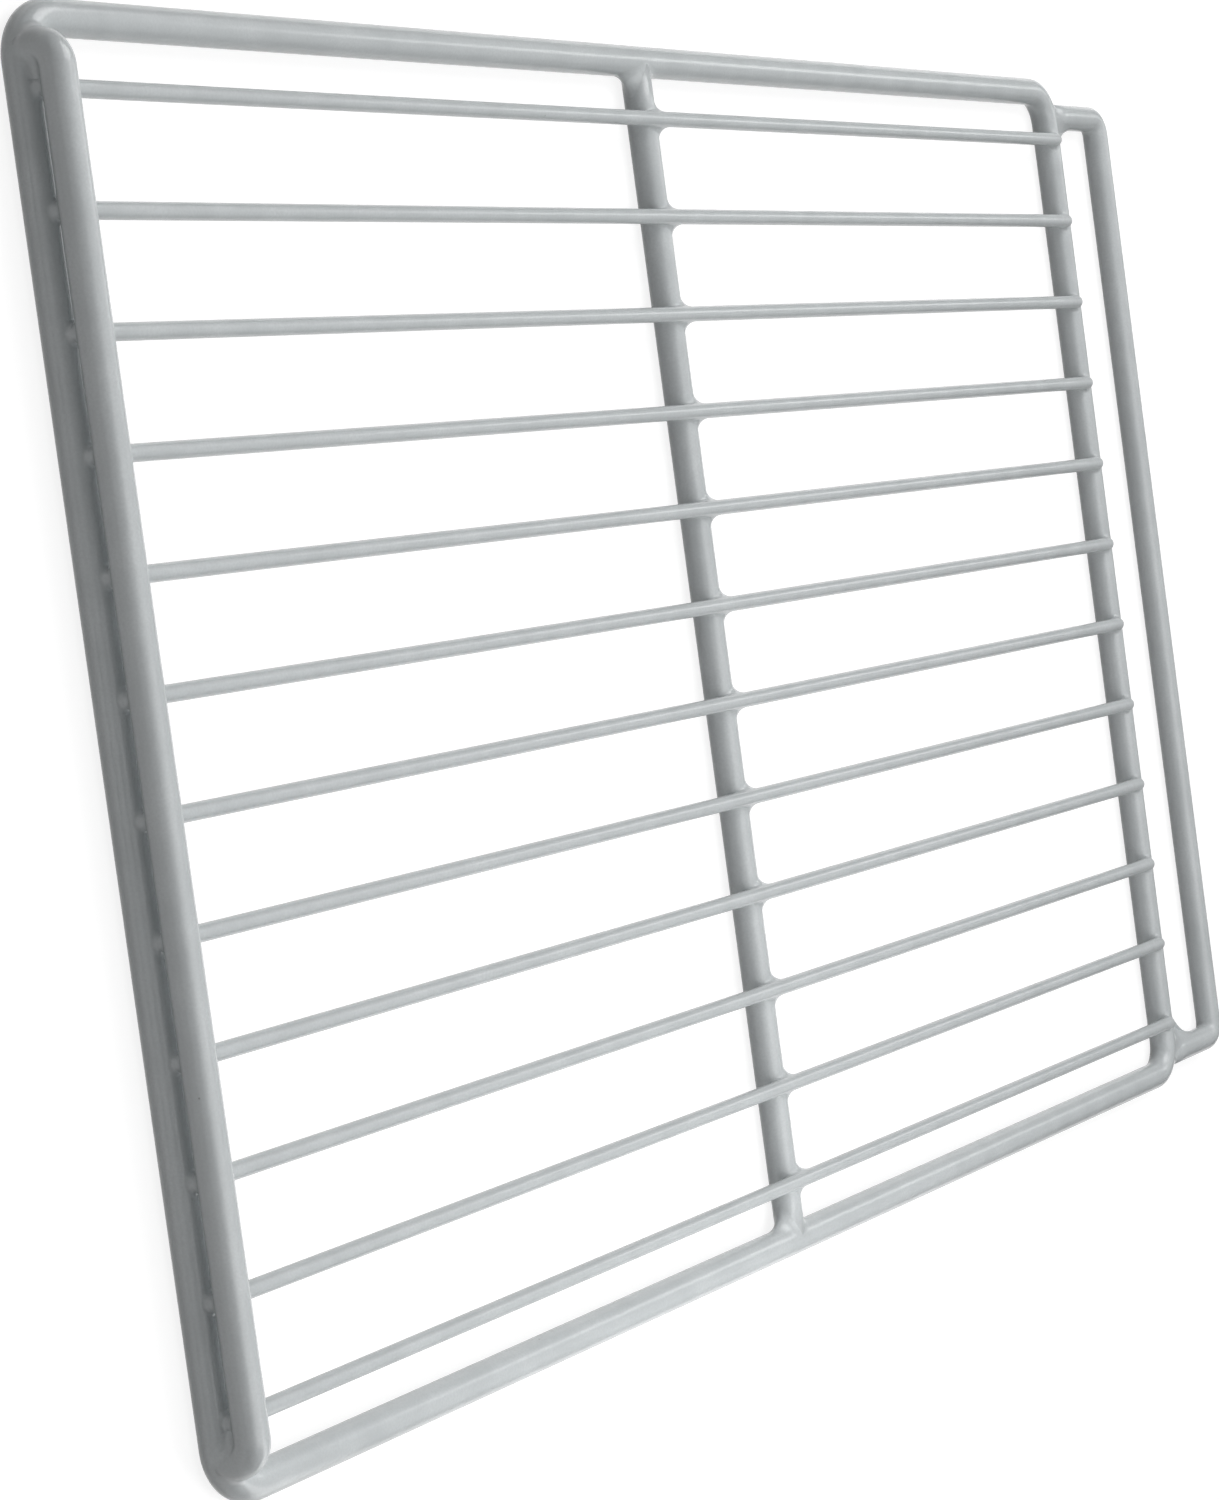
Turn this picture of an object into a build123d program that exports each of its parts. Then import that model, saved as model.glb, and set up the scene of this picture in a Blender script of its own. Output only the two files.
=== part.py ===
from build123d import *
from math import sqrt
import os

# A coated wire shelf for a refrigerator cabinet, lying flat with its load wires uppermost.
# X runs across the shelf, Y from the front bar to the rear loop, Z up from the underside of the frame.

# Driving dimensions in millimetres; every diameter includes the coat
overall_width = 325.0
overall_depth = 530.0
frame_diameter = 8.2
coat_step = 0.2            # the bars welded to the frame are this much thinner than it
wire_diameter = 4.0
wire_count = 12
side_gap = 15.95           # axis of a side bar to the axis of the nearest load wire
weld_sink = 1.3            # coated rods settle this far into each other, because their cores are welded

frame_bend = 10.0          # bend radii are measured on the axis of the rod
front_inset = 7.2          # axis of a side bar to the axis of the front bar's turned-down end
front_bend = 5.3
loop_reach = 36.5          # axis of the rear frame bar to the axis of the loop
loop_inset = 6.3           # axis of a side bar to the axis of the loop's leg
loop_shift = 1.4           # the loop is welded on this much to one side
loop_bend = 5.3

wire_front_overhang = 2.0  # the wires end this far in front of the axis of the front frame bar
wire_rear_setback = 1.6    # and this far short of the axis of the rear frame bar

# Sizes and places that follow from them
frame_radius = frame_diameter / 2
bar_radius = (frame_diameter - coat_step) / 2
wire_radius = wire_diameter / 2

side_x = overall_width / 2 - frame_radius
front_y = -overall_depth / 2 + frame_radius
loop_y = overall_depth / 2 - bar_radius
rear_y = loop_y - loop_reach
centre_y = (front_y + rear_y) / 2

frame_z = frame_radius
wire_z = frame_z + frame_radius + wire_radius - weld_sink
front_bar_z = wire_z + wire_radius + bar_radius - weld_sink

# The turned-down ends stand on the axis of the frame's bend, which sets the whole front bar back a little
bend_run = max(frame_bend - front_inset, 0)
front_bar_y = front_y + frame_bend - sqrt(frame_bend**2 - bend_run**2)

wire_pitch = 2 * (side_x - side_gap) / (wire_count - 1)
wire_places = [wire_pitch * i - side_x + side_gap for i in range(wire_count)]


def straight_rod(start, end, radius):
    """A straight rod with square ends."""
    axis = Line(start, end)
    return sweep(Plane(origin=start, z_dir=axis % 0) * Circle(radius), axis)


def bent_rod(points, radius, bend):
    """A rod that runs from point to point with the same bend at every corner between."""
    axis = FilletPolyline(*points, radius=bend)
    return sweep(Plane(origin=points[0], z_dir=axis % 0) * Circle(radius), axis)


def coped(rod, *carriers):
    """The rod cut to seat on the rods that carry it, without the stubs that reach past them."""
    for carrier in carriers:
        rod = rod - carrier
    return rod.solids().sort_by(SortBy.VOLUME)[-1]


def make_perimeter_frame():
    """One heavy rod bent into a closed rectangle."""
    corners = [(-side_x, front_y), (side_x, front_y), (side_x, rear_y), (-side_x, rear_y)]
    axis = FilletPolyline(*[(x, y, frame_z) for x, y in corners], radius=frame_bend, close=True)
    return sweep(Plane(origin=axis @ 0, z_dir=axis % 0) * Circle(frame_radius), axis)


def make_centre_bar(frame):
    """A heavy bar butted between the two side bars, in the plane of the frame."""
    rod = straight_rod((-side_x, centre_y, frame_z), (side_x, centre_y, frame_z), bar_radius)
    return coped(rod, frame)


def make_rear_loop(frame):
    """A shallow staple in the plane of the frame, its legs butted on the outside of the rear corners."""
    left = -side_x + loop_inset + loop_shift
    right = side_x - loop_inset + loop_shift
    root_y = rear_y - frame_bend
    places = [(left, root_y), (left, loop_y), (right, loop_y), (right, root_y)]
    rod = bent_rod([(x, y, frame_z) for x, y in places], bar_radius, loop_bend)
    return coped(rod, frame)


def make_front_bar(frame):
    """A staple over the front ends of the wires, its ends turned down on the front corners of the frame."""
    end_x = side_x - front_inset
    places = [(-end_x, frame_z), (-end_x, front_bar_z), (end_x, front_bar_z), (end_x, frame_z)]
    rod = bent_rod([(x, front_bar_y, z) for x, z in places], bar_radius, front_bend)
    return coped(rod, frame)


def make_load_wire():
    """A thin wire lying across the frame and the centre bar, pinched under the front bar."""
    start_y = front_y - wire_front_overhang
    end_y = rear_y - wire_rear_setback
    rod = straight_rod((0, start_y, wire_z), (0, end_y, wire_z), wire_radius)
    seats = [
        (front_y, frame_z, frame_radius),
        (front_bar_y, front_bar_z, bar_radius),
        (centre_y, frame_z, bar_radius),
        (rear_y, frame_z, frame_radius),
    ]
    rails = [straight_rod((-wire_pitch, y, z), (wire_pitch, y, z), radius) for y, z, radius in seats]
    return coped(rod, *rails)


perimeter_frame = make_perimeter_frame()
load_wire = make_load_wire()
nodes = {
    "perimeter_frame": perimeter_frame,
    "centre_bar": make_centre_bar(perimeter_frame),
    "front_bar": make_front_bar(perimeter_frame),
    "rear_loop": make_rear_loop(perimeter_frame),
}
for number, place in enumerate(wire_places, start=1):
    nodes[f"load_wire_{number:02d}"] = Pos(place, 0, 0) * load_wire

os.makedirs("parts", exist_ok=True)
for name, solid in nodes.items():
    export_step(solid, f"parts/{name}.step")
    print(name, "volume", round(solid.volume, 1), "valid", solid.is_valid)
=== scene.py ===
from math import atan2, ceil, cos, pi, radians, sin, sqrt

import bmesh
import bpy
from mathutils import Euler, Matrix, Vector


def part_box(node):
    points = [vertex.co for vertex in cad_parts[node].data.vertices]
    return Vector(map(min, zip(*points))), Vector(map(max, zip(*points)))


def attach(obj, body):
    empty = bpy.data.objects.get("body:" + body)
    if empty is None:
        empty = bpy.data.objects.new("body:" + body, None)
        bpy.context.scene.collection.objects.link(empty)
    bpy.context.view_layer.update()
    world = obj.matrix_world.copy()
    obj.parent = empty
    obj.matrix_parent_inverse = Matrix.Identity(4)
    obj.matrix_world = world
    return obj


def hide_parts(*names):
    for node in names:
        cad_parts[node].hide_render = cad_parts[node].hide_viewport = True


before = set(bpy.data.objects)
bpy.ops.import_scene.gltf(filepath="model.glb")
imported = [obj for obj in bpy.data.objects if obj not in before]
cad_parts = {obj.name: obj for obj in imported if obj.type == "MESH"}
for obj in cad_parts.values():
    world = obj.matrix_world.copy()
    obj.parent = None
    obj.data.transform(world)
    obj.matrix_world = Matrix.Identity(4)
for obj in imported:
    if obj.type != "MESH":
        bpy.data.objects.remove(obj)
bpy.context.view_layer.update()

# Sizes and places in metres, read from the frame
frame_low, frame_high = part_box("perimeter_frame")
bar_low, bar_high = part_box("centre_bar")
front_low, front_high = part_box("front_bar")
loop_low, loop_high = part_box("rear_loop")
wire_low, wire_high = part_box("load_wire_01")
next_wire_low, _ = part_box("load_wire_02")

FRAME_Z = (frame_low.z + frame_high.z) / 2
FRAME_RADIUS = frame_high.z - FRAME_Z
SIDE_X = frame_high.x - FRAME_RADIUS
FRONT_Y = frame_low.y + FRAME_RADIUS
REAR_Y = frame_high.y - FRAME_RADIUS

CENTRE_Y = (bar_low.y + bar_high.y) / 2
BAR_RADIUS = bar_high.z - FRAME_Z

FRONT_BAR_X = front_high.x - BAR_RADIUS
FRONT_BAR_Y = (front_low.y + front_high.y) / 2
FRONT_BAR_Z = front_high.z - BAR_RADIUS

LOOP_Y = loop_high.y - BAR_RADIUS
LOOP_LEFT_X = loop_low.x + BAR_RADIUS
LOOP_RIGHT_X = loop_high.x - BAR_RADIUS

WIRE_RADIUS = (wire_high.z - wire_low.z) / 2
WIRE_Z = (wire_low.z + wire_high.z) / 2
WIRE_FRONT_Y = wire_low.y
WIRE_REAR_Y = wire_high.y
WIRE_FIRST_X = (wire_low.x + wire_high.x) / 2
WIRE_PITCH = next_wire_low.x - wire_low.x
WIRE_COUNT = sum(node.startswith("load_wire_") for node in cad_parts)

# Bends of the rods, and how closely everything is drawn
MM = 0.001
FRAME_BEND = 10.0 * MM
FRONT_BEND = 5.3 * MM
LOOP_BEND = 5.3 * MM
ROD_STEP = 12.0 * MM
BAR_SIDES = 48
WIRE_SIDES = 32
BEND_STEPS = 24
DOME_STEPS = 10
COLLAR_SIDES = 72
COLLAR_STEPS = 12
SLEEVE_TAPER = 0.5
SEAM_GAP = 0.002 * MM

# The coat's hollow radius at each kind of joint: where it is largest, and on the far side of the joint
CENTRE_COLLAR = (6.0 * MM, 3.5 * MM)
LEFT_LOOP_COLLAR = (14.0 * MM, 3.0 * MM)
RIGHT_LOOP_COLLAR = (19.0 * MM, 4.0 * MM)
FRONT_FOOT_COLLAR = (6.0 * MM, 1.0 * MM)
FRONT_CREASE_COLLAR = 0.8 * MM
WIRE_CENTRE_COLLAR = (4.5 * MM, 0.8 * MM)
WIRE_REAR_COLLAR = (3.0 * MM, 1.0 * MM)
WIRE_FRONT_COLLAR = (1.5 * MM, 0.9 * MM)

# The search for the seat of the ball that hollows a collar
BALL_TRIES = 40
BALL_STRIDE = 1.0 * MM

# Finish of the coat
COAT_DARK = (0.68, 0.715, 0.725, 1)
COAT_LIGHT = (0.75, 0.785, 0.795, 1)
COAT_GRAIN = (0.62, 0.65, 0.66, 1)
COAT_SPECK = (0.3, 0.3, 0.3, 1)
COAT_IOR = 1.5
COAT_ROUGHNESS = (0.17, 0.25)
NOISE_SPAN = (0.3, 0.7)
MOTTLE_SCALE = 90
GRAIN_SCALE = 1600
GRAIN_SHARE = 0.4
SPECK_SCALE = 45
SPECK_REACH = (0.006, 0.014)
SPECK_SHARE = 0.6
GLOSS_SCALE = 140
RIPPLE_SCALE = 260
RIPPLE_HEIGHT = 0.12 * MM

# Floor, lamps and camera
FLOOR_HALF = 4
FLOOR_GREY = (0.3, 0.3, 0.3, 1)
FLOOR_WHITE = 0.85
PANEL_POWER = 4 * pi
CAMERA_LENS = 88.43
CAMERA_SENSOR = 36
CAMERA_PLACE = (-0.02742, -0.85478, 0.52019)
CAMERA_TURN = (8.7526, -56.1342, 76.091)

ALONG_X = Vector((1, 0, 0))
ALONG_Y = Vector((0, 1, 0))
UPRIGHT = Vector((0, 0, 1))


# The line that each rod follows: the place on it that is nearest to a point
def on_frame(point):
    middle = (FRONT_Y + REAR_Y) / 2
    half_width = SIDE_X - FRAME_BEND
    half_depth = (REAR_Y - FRONT_Y) / 2 - FRAME_BEND
    x = min(max(point.x, -half_width), half_width)
    y = middle + min(max(point.y - middle, -half_depth), half_depth)
    hub = Vector((x, y, FRAME_Z))
    spoke = Vector((point.x, point.y, FRAME_Z)) - hub
    return hub + spoke.normalized() * FRAME_BEND


def on_side_bar(point):
    return Vector((-SIDE_X if point.x < 0 else SIDE_X, point.y, FRAME_Z))


def on_centre_bar(point):
    return Vector((point.x, CENTRE_Y, FRAME_Z))


def on_front_staple(point):
    half_width = FRONT_BAR_X - FRONT_BEND
    x = min(max(point.x, -half_width), half_width)
    hub = Vector((x, FRONT_BAR_Y, min(point.z, FRONT_BAR_Z - FRONT_BEND)))
    spoke = Vector((point.x, FRONT_BAR_Y, point.z)) - hub
    return hub + spoke.normalized() * FRONT_BEND


def on_front_run(point):
    return Vector((point.x, FRONT_BAR_Y, FRONT_BAR_Z))


def on_loop_leg(point):
    return Vector((LOOP_LEFT_X if point.x < 0 else LOOP_RIGHT_X, point.y, FRAME_Z))


def on_wire(point):
    y = min(max(point.y, WIRE_FRONT_Y + WIRE_RADIUS), WIRE_REAR_Y - WIRE_RADIUS)
    return Vector((0, y, WIRE_Z))


# Drawing a rod
def start_ring(mesh, place, axis, radius, sides):
    turn = UPRIGHT.rotation_difference(axis).to_matrix().to_4x4()
    matrix = Matrix.Translation(place) @ turn
    made = bmesh.ops.create_circle(mesh, segments=sides, radius=radius, matrix=matrix)
    return list({edge for vertex in made["verts"] for edge in vertex.link_edges})


def next_ring(mesh, ring, move):
    made = bmesh.ops.extrude_edge_only(mesh, edges=ring)["geom"]
    vertices = [item for item in made if isinstance(item, bmesh.types.BMVert)]
    bmesh.ops.translate(mesh, verts=vertices, vec=move)
    edges = [item for item in made if isinstance(item, bmesh.types.BMEdge) and item.is_boundary]
    return edges, vertices


def draw_run(mesh, ring, axis, length):
    count = ceil(length / ROD_STEP)
    for _ in range(count):
        ring, _vertices = next_ring(mesh, ring, axis * (length / count))
    return ring


def draw_bend(mesh, ring, centre, axis, angle):
    made = bmesh.ops.spin(mesh, geom=ring, cent=centre, axis=axis, angle=angle, steps=BEND_STEPS)
    return [item for item in made["geom_last"] if isinstance(item, bmesh.types.BMEdge)]


def draw_dome(mesh, ring, axis, place, height):
    for step in range(1, DOME_STEPS + 1):
        before = (step - 1) / DOME_STEPS * pi / 2
        after = step / DOME_STEPS * pi / 2
        ring, vertices = next_ring(mesh, ring, axis * height * (sin(after) - sin(before)))
        if step == DOME_STEPS:
            bmesh.ops.pointmerge(mesh, verts=vertices, merge_co=place + axis * height)
        else:
            shrink = cos(after) / cos(before)
            to_middle = Matrix.Translation(-place - axis * height * sin(after))
            bmesh.ops.scale(mesh, verts=vertices, vec=(shrink,) * 3, space=to_middle)


# A collar of coat fills the crease between two rods, as hollow as a ball that rolls round in the crease
def seat_ball(base, heading, up, rods, ball, place):
    for _ in range(BALL_TRIES):
        point = base + heading * place.x + up * place.y
        spokes = [point - line(point) for line, _radius in rods]
        misses = Vector([spoke.length - radius - ball for spoke, (_line, radius) in zip(spokes, rods)])
        pulls = [spoke.normalized() for spoke in spokes]
        stride = Matrix([(pull.dot(heading), pull.dot(up)) for pull in pulls]).inverted() @ misses
        place = place - stride * min(1.0, BALL_STRIDE / max(stride.length, BALL_STRIDE))
    return place


def roll_profile(centre, rods, ball, crease):
    last, first = ((line(centre) - centre).normalized() for line, _radius in rods)
    shares = [step / COLLAR_STEPS for step in range(COLLAR_STEPS + 1)]
    return [centre + first.slerp(last, share) * ball for share in shares] + [crease]


def roll_round(base, toward, up, rods, balls):
    sideways = up.cross(toward)
    large, small = balls
    crease = Vector([radius for _line, radius in rods])
    seat = crease + Vector((1, 1)) * (large + small) / 2
    profiles = []
    for turn in range(COLLAR_SIDES):
        angle = pi / 2 + 2 * pi * turn / COLLAR_SIDES
        heading = toward * cos(angle) + sideways * sin(angle)
        ball = small + (large - small) * ((1 + cos(angle)) / 2) ** 2
        seat = seat_ball(base, heading, up, rods, ball, seat)
        crease = seat_ball(base, heading, up, rods, 0.0, crease)
        centre = base + heading * seat.x + up * seat.y
        profiles.append(roll_profile(centre, rods, ball, base + heading * crease.x + up * crease.y))
    return profiles


# A front foot's collar starts at the outermost wire, goes round the foot and comes back behind it
def roll_front_foot(outward, rods):
    foot = outward * FRONT_BAR_X + Vector((0, FRONT_BAR_Y, FRAME_Z))
    inward_run = -outward * (FRONT_BAR_X - abs(WIRE_FIRST_X))
    front_ball, rear_ball = FRONT_FOOT_COLLAR
    third = COLLAR_SIDES // 3
    stations = []
    for step in range(third):
        share = step / third
        ball = FRONT_CREASE_COLLAR + (front_ball - FRONT_CREASE_COLLAR) * share
        stations.append((foot + inward_run * (1 - share), -ALONG_Y, ball))
    for step in range(third):
        angle = pi * step / third
        ball = rear_ball + (front_ball - rear_ball) * (1 + cos(angle)) / 2
        stations.append((foot, outward * sin(angle) - ALONG_Y * cos(angle), ball))
    for step in range(third):
        share = step / (third - 1)
        ball = rear_ball + (FRONT_CREASE_COLLAR - rear_ball) * share
        stations.append((foot + inward_run * share, ALONG_Y, ball))
    half_gap = (FRONT_BAR_Z - FRAME_Z) / 2
    seat = Vector((MM, half_gap))
    profiles = []
    for base, heading, ball in stations:
        seat = seat_ball(base, heading, UPRIGHT, rods, ball, seat)
        centre = base + heading * seat.x + UPRIGHT * seat.y
        profiles.append(roll_profile(centre, rods, ball, base + UPRIGHT * half_gap))
    return profiles if outward.x > 0 else profiles[::-1]


# A plain sleeve, closed on itself, is laid on the profiles, with sharp rims where the coat meets the rods
def draw_collar(mesh, profiles):
    first = start_ring(mesh, Vector(), UPRIGHT, MM, COLLAR_SIDES)
    sleeve = list({vertex for edge in first for vertex in edge.verts})
    last = first
    for _ in range(COLLAR_STEPS + 1):
        last, vertices = next_ring(mesh, last, UPRIGHT * MM)
        sleeve += vertices
    bmesh.ops.scale(mesh, verts=vertices, vec=(SLEEVE_TAPER, SLEEVE_TAPER, 1))
    bmesh.ops.bridge_loops(mesh, edges=first + last)
    faces = {face for vertex in sleeve for face in vertex.link_faces}
    bmesh.ops.recalc_face_normals(mesh, faces=list(faces))
    levels = {vertex: round(vertex.co.z / MM) for vertex in sleeve}
    for vertex, level in levels.items():
        turn = round(atan2(vertex.co.y, vertex.co.x) / (2 * pi) * COLLAR_SIDES) % COLLAR_SIDES
        vertex.co = profiles[turn][level]
    rims = {0, COLLAR_STEPS, COLLAR_STEPS + 1}
    for edge in {edge for vertex in sleeve for edge in vertex.link_edges}:
        near, far = (levels[vertex] for vertex in edge.verts)
        edge.smooth = near != far or near not in rims


# Finishing a piece
def close_seams(mesh):
    bmesh.ops.remove_doubles(mesh, verts=mesh.verts, dist=SEAM_GAP)
    bmesh.ops.recalc_face_normals(mesh, faces=mesh.faces)


def close_rod(mesh, first, last):
    for ring in (first, last):
        bmesh.ops.contextual_create(mesh, geom=ring)
    close_seams(mesh)


def finish_piece(mesh, node, material):
    for face in mesh.faces:
        face.smooth = True
    data = bpy.data.meshes.new(node + "_skin")
    mesh.to_mesh(data)
    mesh.free()
    data.materials.append(material)
    return show_piece(data, node)


def show_piece(data, node):
    piece = bpy.data.objects.new(node + "_skin", data)
    bpy.context.scene.collection.objects.link(piece)
    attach(piece, "root")
    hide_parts(node)
    return piece


# The rods
def make_frame(material):
    mesh = bmesh.new()
    ring = start_ring(mesh, Vector((0, FRONT_Y, FRAME_Z)), ALONG_X, FRAME_RADIUS, BAR_SIDES)
    half_width = SIDE_X - FRAME_BEND
    depth = REAR_Y - FRONT_Y - 2 * FRAME_BEND
    corners = (
        (half_width, FRONT_Y + FRAME_BEND, ALONG_X, half_width),
        (half_width, REAR_Y - FRAME_BEND, ALONG_Y, depth),
        (-half_width, REAR_Y - FRAME_BEND, -ALONG_X, 2 * half_width),
        (-half_width, FRONT_Y + FRAME_BEND, -ALONG_Y, depth),
    )
    for x, y, heading, length in corners:
        ring = draw_run(mesh, ring, heading, length)
        ring = draw_bend(mesh, ring, Vector((x, y, FRAME_Z)), UPRIGHT, pi / 2)
    draw_run(mesh, ring, ALONG_X, half_width)
    close_seams(mesh)
    return finish_piece(mesh, "perimeter_frame", material)


def make_centre_bar(material):
    mesh = bmesh.new()
    first = start_ring(mesh, Vector((-SIDE_X, CENTRE_Y, FRAME_Z)), ALONG_X, BAR_RADIUS, BAR_SIDES)
    last = draw_run(mesh, first, ALONG_X, 2 * SIDE_X)
    close_rod(mesh, first, last)
    rods = [(on_centre_bar, BAR_RADIUS), (on_side_bar, FRAME_RADIUS)]
    for inward, x in ((ALONG_X, -SIDE_X), (-ALONG_X, SIDE_X)):
        draw_collar(mesh, roll_round(Vector((x, CENTRE_Y, FRAME_Z)), -ALONG_Y, inward, rods, CENTRE_COLLAR))
    return finish_piece(mesh, "centre_bar", material)


def make_front_bar(material):
    mesh = bmesh.new()
    leg = FRONT_BAR_Z - FRONT_BEND - FRAME_Z
    turn = FRONT_BAR_X - FRONT_BEND
    first = start_ring(mesh, Vector((-FRONT_BAR_X, FRONT_BAR_Y, FRAME_Z)), UPRIGHT, BAR_RADIUS, BAR_SIDES)
    ring = draw_run(mesh, first, UPRIGHT, leg)
    ring = draw_bend(mesh, ring, Vector((-turn, FRONT_BAR_Y, FRAME_Z + leg)), ALONG_Y, pi / 2)
    ring = draw_run(mesh, ring, ALONG_X, 2 * turn)
    ring = draw_bend(mesh, ring, Vector((turn, FRONT_BAR_Y, FRAME_Z + leg)), ALONG_Y, pi / 2)
    last = draw_run(mesh, ring, -UPRIGHT, leg)
    close_rod(mesh, first, last)
    rods = [(on_front_staple, BAR_RADIUS), (on_frame, FRAME_RADIUS)]
    for outward in (-ALONG_X, ALONG_X):
        draw_collar(mesh, roll_front_foot(outward, rods))
    return finish_piece(mesh, "front_bar", material)


# How far back the line of the frame's rear corner lies, at a place across the shelf
def frame_rear_y(x):
    return REAR_Y - FRAME_BEND + sqrt(FRAME_BEND ** 2 - (abs(x) - SIDE_X + FRAME_BEND) ** 2)


def make_rear_loop(material):
    mesh = bmesh.new()
    left_foot = Vector((LOOP_LEFT_X, frame_rear_y(LOOP_LEFT_X), FRAME_Z))
    right_foot = Vector((LOOP_RIGHT_X, frame_rear_y(LOOP_RIGHT_X), FRAME_Z))
    turn_y = LOOP_Y - LOOP_BEND
    first = start_ring(mesh, left_foot, ALONG_Y, BAR_RADIUS, BAR_SIDES)
    ring = draw_run(mesh, first, ALONG_Y, turn_y - left_foot.y)
    ring = draw_bend(mesh, ring, Vector((LOOP_LEFT_X + LOOP_BEND, turn_y, FRAME_Z)), UPRIGHT, -pi / 2)
    ring = draw_run(mesh, ring, ALONG_X, LOOP_RIGHT_X - LOOP_LEFT_X - 2 * LOOP_BEND)
    ring = draw_bend(mesh, ring, Vector((LOOP_RIGHT_X - LOOP_BEND, turn_y, FRAME_Z)), UPRIGHT, -pi / 2)
    last = draw_run(mesh, ring, -ALONG_Y, turn_y - right_foot.y)
    close_rod(mesh, first, last)
    rods = [(on_loop_leg, BAR_RADIUS), (on_frame, FRAME_RADIUS)]
    draw_collar(mesh, roll_round(left_foot, ALONG_X, ALONG_Y, rods, LEFT_LOOP_COLLAR))
    draw_collar(mesh, roll_round(right_foot, -ALONG_X, ALONG_Y, rods, RIGHT_LOOP_COLLAR))
    return finish_piece(mesh, "rear_loop", material)


def make_wires(material):
    mesh = bmesh.new()
    front = Vector((0, WIRE_FRONT_Y + WIRE_RADIUS, WIRE_Z))
    rear = Vector((0, WIRE_REAR_Y - WIRE_RADIUS, WIRE_Z))
    first = start_ring(mesh, front, ALONG_Y, WIRE_RADIUS, WIRE_SIDES)
    last = draw_run(mesh, first, ALONG_Y, rear.y - front.y)
    draw_dome(mesh, first, -ALONG_Y, front, WIRE_RADIUS)
    draw_dome(mesh, last, ALONG_Y, rear, WIRE_RADIUS)
    close_seams(mesh)
    wire_rod = (on_wire, WIRE_RADIUS)
    frame_rod = (on_frame, FRAME_RADIUS)
    centre_rod = (on_centre_bar, BAR_RADIUS)
    front_rod = (on_front_run, BAR_RADIUS)
    over_front = Vector((0, WIRE_FRONT_Y + FRAME_RADIUS, FRAME_Z))
    under_front_bar = Vector((0, WIRE_FRONT_Y + FRAME_RADIUS, FRONT_BAR_Z))
    over_centre = Vector((0, CENTRE_Y, FRAME_Z))
    over_rear = Vector((0, rear.y + WIRE_RADIUS / 2, FRAME_Z))
    for base, toward, up, rods, balls in (
        (over_front, -ALONG_Y, UPRIGHT, [wire_rod, frame_rod], WIRE_FRONT_COLLAR),
        (under_front_bar, -ALONG_Y, -UPRIGHT, [wire_rod, front_rod], WIRE_FRONT_COLLAR),
        (over_centre, ALONG_Y, UPRIGHT, [wire_rod, centre_rod], WIRE_CENTRE_COLLAR),
        (over_rear, ALONG_Y, UPRIGHT, [wire_rod, frame_rod], WIRE_REAR_COLLAR),
    ):
        draw_collar(mesh, roll_round(base, toward, up, rods, balls))
    wire = finish_piece(mesh, "load_wire_01", material)
    for number in range(2, WIRE_COUNT + 1):
        data = wire.data.copy()
        data.transform(Matrix.Translation(ALONG_X * (WIRE_FIRST_X + (number - 1) * WIRE_PITCH)))
        show_piece(data, f"load_wire_{number:02d}")
    wire.data.transform(Matrix.Translation(ALONG_X * WIRE_FIRST_X))


# Materials
def new_material(name):
    material = bpy.data.materials.new(name)
    material.use_nodes = True
    material.node_tree.nodes.clear()
    return material, material.node_tree.nodes, material.node_tree.links


def new_noise(nodes, links, places, scale, detail):
    noise = nodes.new("ShaderNodeTexNoise")
    noise.inputs["Scale"].default_value = scale
    noise.inputs["Detail"].default_value = detail
    links.new(places.outputs["Object"], noise.inputs["Vector"])
    return noise.outputs["Fac"]


def new_range(nodes, links, value, source, target):
    span = nodes.new("ShaderNodeMapRange")
    for socket, level in zip(("From Min", "From Max", "To Min", "To Max"), source + target):
        span.inputs[socket].default_value = level
    links.new(value, span.inputs["Value"])
    return span.outputs["Result"]


def new_mix(nodes, links, share, first, second):
    mix = nodes.new("ShaderNodeMix")
    mix.data_type = "RGBA"
    links.new(share, mix.inputs["Factor"])
    sockets = {socket.identifier: socket for socket in [*mix.inputs, *mix.outputs]}
    for socket, colour in ((sockets["A_Color"], first), (sockets["B_Color"], second)):
        if isinstance(colour, tuple):
            socket.default_value = colour
        else:
            links.new(colour, socket)
    return sockets["Result_Color"]


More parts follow.
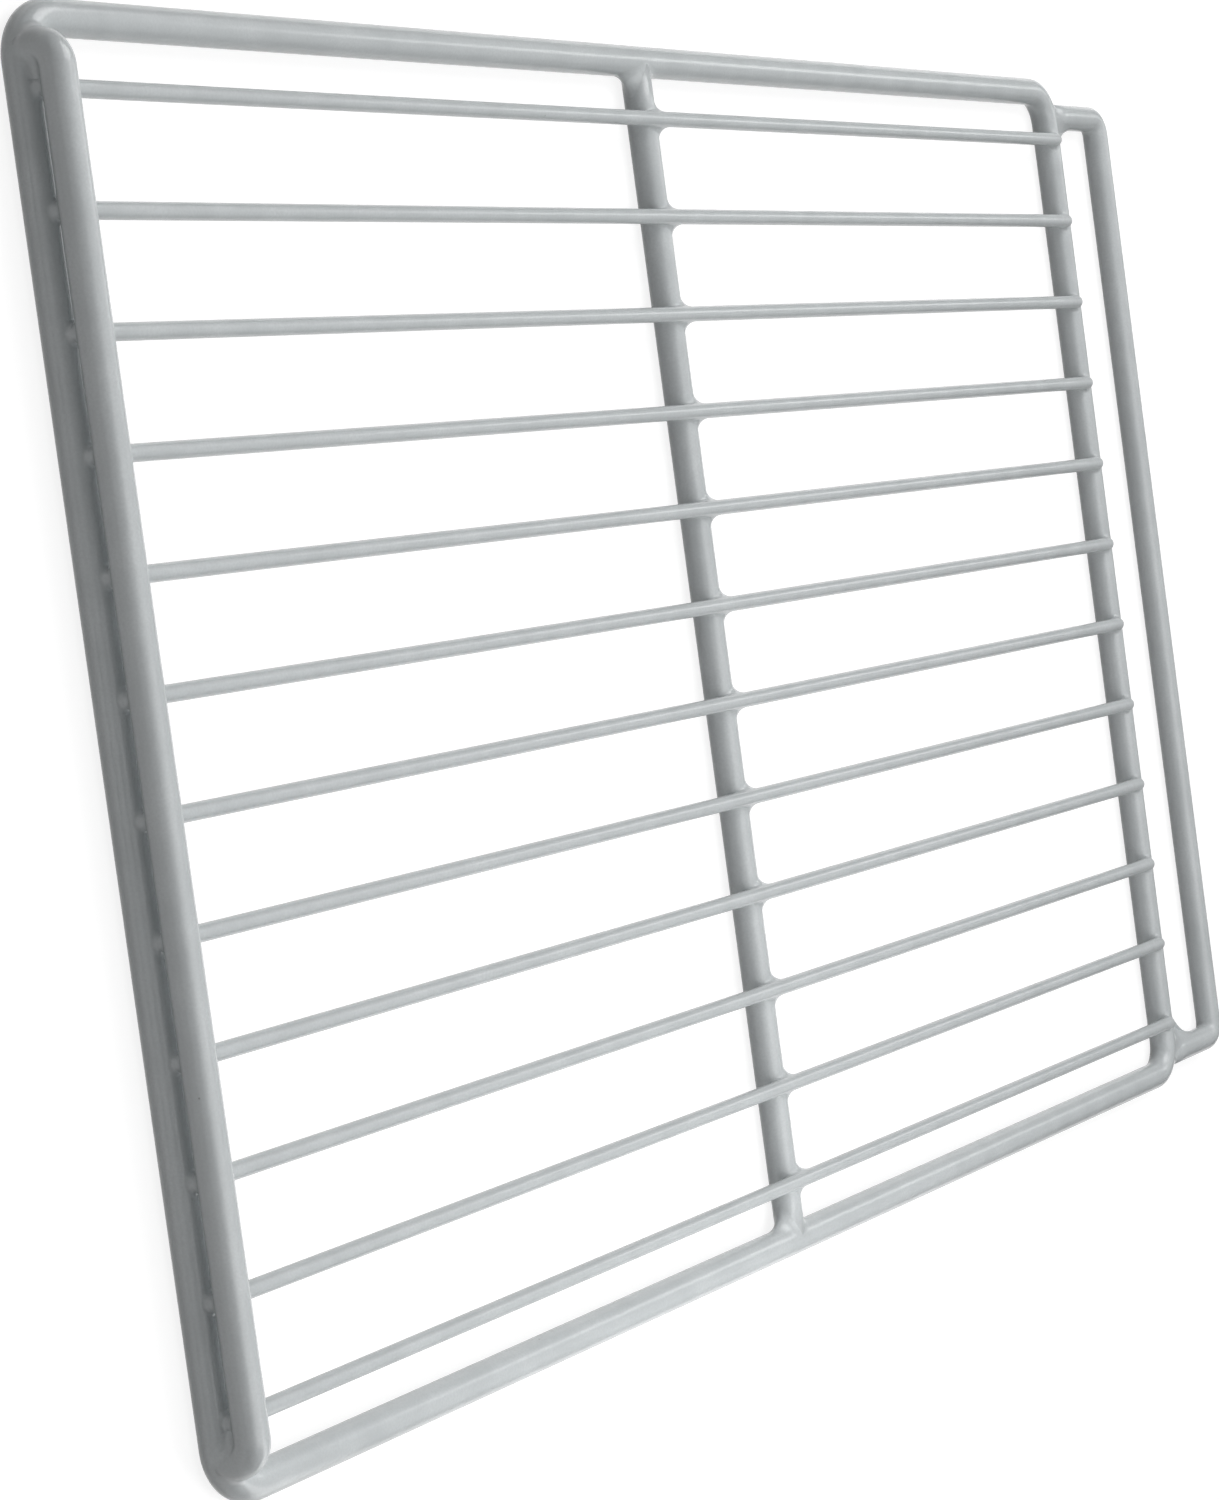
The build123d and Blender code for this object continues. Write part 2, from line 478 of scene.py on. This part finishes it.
def make_coat():
    material, nodes, links = new_material("white_coat")
    output = nodes.new("ShaderNodeOutputMaterial")
    shader = nodes.new("ShaderNodeBsdfPrincipled")
    shader.inputs["IOR"].default_value = COAT_IOR
    places = nodes.new("ShaderNodeTexCoord")
    mottle_noise = new_noise(nodes, links, places, MOTTLE_SCALE, detail=2)
    mottle = new_range(nodes, links, mottle_noise, NOISE_SPAN, (0, 1))
    mottled = new_mix(nodes, links, mottle, COAT_DARK, COAT_LIGHT)
    grain_noise = new_noise(nodes, links, places, GRAIN_SCALE, detail=1)
    grain = new_range(nodes, links, grain_noise, NOISE_SPAN, (0, GRAIN_SHARE))
    grained = new_mix(nodes, links, grain, mottled, COAT_GRAIN)
    specks = nodes.new("ShaderNodeTexVoronoi")
    specks.inputs["Scale"].default_value = SPECK_SCALE
    links.new(places.outputs["Object"], specks.inputs["Vector"])
    speck = new_range(nodes, links, specks.outputs["Distance"], SPECK_REACH, (SPECK_SHARE, 0))
    links.new(new_mix(nodes, links, speck, grained, COAT_SPECK), shader.inputs["Base Color"])
    gloss_noise = new_noise(nodes, links, places, GLOSS_SCALE, detail=2)
    gloss = new_range(nodes, links, gloss_noise, NOISE_SPAN, COAT_ROUGHNESS)
    links.new(gloss, shader.inputs["Roughness"])
    bump = nodes.new("ShaderNodeBump")
    bump.inputs["Strength"].default_value = 1.0
    bump.inputs["Distance"].default_value = RIPPLE_HEIGHT
    links.new(new_noise(nodes, links, places, RIPPLE_SCALE, detail=2), bump.inputs["Height"])
    links.new(bump.outputs["Normal"], shader.inputs["Normal"])
    links.new(shader.outputs["BSDF"], output.inputs["Surface"])
    return material


# The floor takes shadows as a grey one does, and shows white where it is seen or mirrored
def make_floor_material():
    material, nodes, links = new_material("white_floor")
    output = nodes.new("ShaderNodeOutputMaterial")
    path = nodes.new("ShaderNodeLightPath")
    grey = nodes.new("ShaderNodeBsdfDiffuse")
    grey.inputs["Color"].default_value = FLOOR_GREY
    white = nodes.new("ShaderNodeEmission")
    white.inputs["Strength"].default_value = FLOOR_WHITE
    bright = nodes.new("ShaderNodeAddShader")
    pick = nodes.new("ShaderNodeMixShader")
    seen = path.outputs["Is Camera Ray"]
    for ray in ("Is Glossy Ray", "Is Transmission Ray"):
        either = nodes.new("ShaderNodeMath")
        either.operation = "MAXIMUM"
        links.new(seen, either.inputs[0])
        links.new(path.outputs[ray], either.inputs[1])
        seen = either.outputs["Value"]
    links.new(grey.outputs["BSDF"], bright.inputs[0])
    links.new(white.outputs["Emission"], bright.inputs[1])
    links.new(seen, pick.inputs["Fac"])
    links.new(grey.outputs["BSDF"], pick.inputs[1])
    links.new(bright.outputs["Shader"], pick.inputs[2])
    links.new(pick.outputs["Shader"], output.inputs["Surface"])
    return material


# The stage
def make_floor():
    mesh = bmesh.new()
    bmesh.ops.create_grid(mesh, x_segments=1, y_segments=1, size=FLOOR_HALF)
    data = bpy.data.meshes.new("floor")
    mesh.to_mesh(data)
    mesh.free()
    data.materials.append(make_floor_material())
    floor = bpy.data.objects.new("floor", data)
    bpy.context.scene.collection.objects.link(floor)


def make_world():
    world = bpy.data.worlds.new("studio")
    bpy.context.scene.world = world
    world.use_nodes = True
    nodes = world.node_tree.nodes
    links = world.node_tree.links
    nodes.clear()
    output = nodes.new("ShaderNodeOutputWorld")
    background = nodes.new("ShaderNodeBackground")
    path = nodes.new("ShaderNodeLightPath")
    links.new(path.outputs["Is Camera Ray"], background.inputs["Strength"])
    links.new(background.outputs["Background"], output.inputs["Surface"])


def make_panel(name, place, target, width, height, level):
    light = bpy.data.lights.new(name, "AREA")
    light.shape = "RECTANGLE"
    light.size = width
    light.size_y = height
    light.energy = PANEL_POWER * width * height * level
    panel = bpy.data.objects.new(name, light)
    panel.location = place
    panel.rotation_euler = (Vector(target) - Vector(place)).to_track_quat("-Z", "Y").to_euler()
    panel.visible_camera = False
    bpy.context.scene.collection.objects.link(panel)


def make_camera():
    data = bpy.data.cameras.new("camera")
    data.lens = CAMERA_LENS
    data.sensor_width = CAMERA_SENSOR
    camera = bpy.data.objects.new("camera", data)
    camera.location = CAMERA_PLACE
    camera.rotation_euler = Euler([radians(angle) for angle in CAMERA_TURN])
    bpy.context.scene.collection.objects.link(camera)
    bpy.context.scene.camera = camera


bpy.context.scene.view_settings.view_transform = "Standard"
coat = make_coat()
make_frame(coat)
make_centre_bar(coat)
make_front_bar(coat)
make_rear_loop(coat)
make_wires(coat)
make_floor()
make_world()
make_panel("key", place=(-0.8, 0.4, 1.0), target=(0, 0.05, 0), width=0.9, height=0.9, level=0.98)
make_panel("side", place=(-1.25, 0.45, 0.35), target=(0, 0.1, 0), width=0.9, height=0.5, level=0.03)
make_panel("overhead", place=(0.3, -0.1, 1.3), target=(0.1, -0.05, 0), width=1.0, height=1.0, level=0.43)
make_panel(
    "table_bounce", place=(0.35, -0.07, 0.063), target=(0.14, -0.07, 0), width=0.14, height=0.7, level=0.62
)
make_panel(
    "front_fill", place=(0.14, -0.40, 0.40), target=(0.1, -0.26, 0), width=0.4, height=0.2, level=0.2
)
make_panel("front_low", place=(0, -0.55, 0.12), target=(0, -0.26, 0), width=0.5, height=0.15, level=0.15)
make_panel("window", place=(-0.4, 1.5, 0.9), target=(0, 0, 0), width=0.3, height=0.6, level=0.65)
make_camera()
